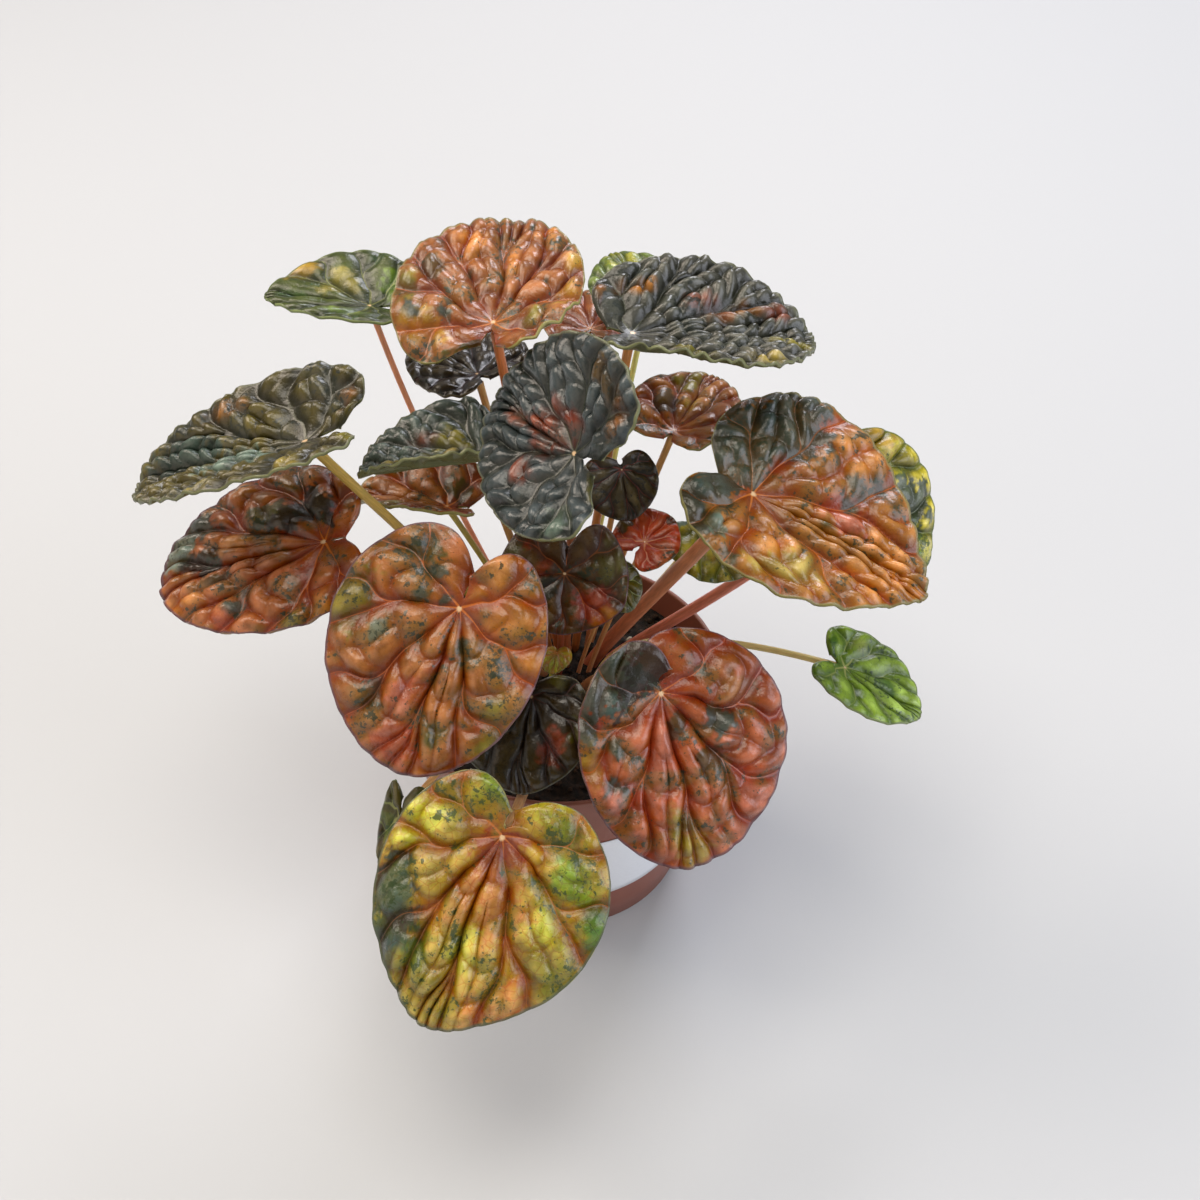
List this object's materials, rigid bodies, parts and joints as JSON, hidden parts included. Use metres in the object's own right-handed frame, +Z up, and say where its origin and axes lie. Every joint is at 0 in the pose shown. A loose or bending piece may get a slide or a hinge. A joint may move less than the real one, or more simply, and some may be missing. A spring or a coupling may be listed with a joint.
{
  "type": "potted ripple peperomia",
  "caption": "Potted ripple peperomia: rust, slate and green heart-shaped rippled leaves on long fleshy stalks that fan out from one crown in a small tapered nursery pot of dark peat.",
  "frame": {"origin": "centre of the pot's base, on the surface the pot stands on", "axes": "+Z up along the pot's axis, -Y towards the front with the label and the lowest big leaf, +X to the right"},
  "size_m": [0.2032, 0.1795, 0.1943],
  "materials": {
    "lime_leaf": "glossy rippled leaf, yellow-green",
    "rust_leaf": "glossy rippled leaf, rust and orange with dark patches",
    "slate_leaf": "glossy rippled leaf, dark grey-green",
    "green_leaf": "glossy rippled leaf, green",
    "umber_leaf": "glossy rippled leaf, dark brown",
    "amber_leaf": "glossy rippled leaf, orange with dark green spots",
    "stalk": "smooth fleshy stalk, pink-tan",
    "peat": "loose dark peat with pale grains",
    "pot_plastic": "moulded red-brown plastic",
    "label_paper": "blank white paper"
  },
  "bodies": {
    "root": {"front_lime_blade": "lime_leaf", "front_lime_stalk": "stalk", "front_red_blade": "rust_leaf", "front_red_stalk": "stalk", "left_rust_blade": "rust_leaf", "left_rust_stalk": "stalk", "left_teal_blade": "rust_leaf", "left_teal_stalk": "stalk", "far_left_slate_blade": "slate_leaf", "far_left_slate_stalk": "stalk", "back_left_green_blade": "green_leaf", "back_left_green_stalk": "stalk", "back_orange_blade": "amber_leaf", "back_orange_stalk": "stalk", "back_umber_blade": "umber_leaf", "back_umber_stalk": "stalk", "upper_left_slate_blade": "slate_leaf", "upper_left_slate_stalk": "stalk", "centre_slate_blade": "slate_leaf", "centre_slate_stalk": "stalk", "back_right_slate_blade": "slate_leaf", "back_right_slate_stalk": "stalk", "back_green_blade": "green_leaf", "back_green_stalk": "stalk", "back_bronze_blade": "amber_leaf", "back_bronze_stalk": "stalk", "curled_amber_blade": "amber_leaf", "curled_amber_stalk": "stalk", "right_salmon_blade": "amber_leaf", "right_salmon_stalk": "stalk", "right_olive_blade": "green_leaf", "right_olive_stalk": "stalk", "right_pale_blade": "green_leaf", "right_pale_stalk": "stalk", "low_right_green_blade": "green_leaf", "low_right_green_stalk": "stalk", "inner_umber_blade": "umber_leaf", "inner_umber_stalk": "stalk", "centre_crimson_blade": "rust_leaf", "centre_crimson_stalk": "stalk", "inner_olive_blade": "green_leaf", "inner_olive_stalk": "stalk", "inner_orange_blade": "amber_leaf", "inner_orange_stalk": "stalk", "left_amber_blade": "amber_leaf", "left_amber_stalk": "stalk", "front_umber_blade": "umber_leaf", "front_umber_stalk": "stalk", "front_rolled_blade": "green_leaf", "front_rolled_stalk": "stalk", "sprout_blade": "lime_leaf", "sprout_stalk": "stalk", "crown": "stalk", "soil": "peat", "pot": "pot_plastic", "label": "label_paper"}
  },
  "joints": []
}
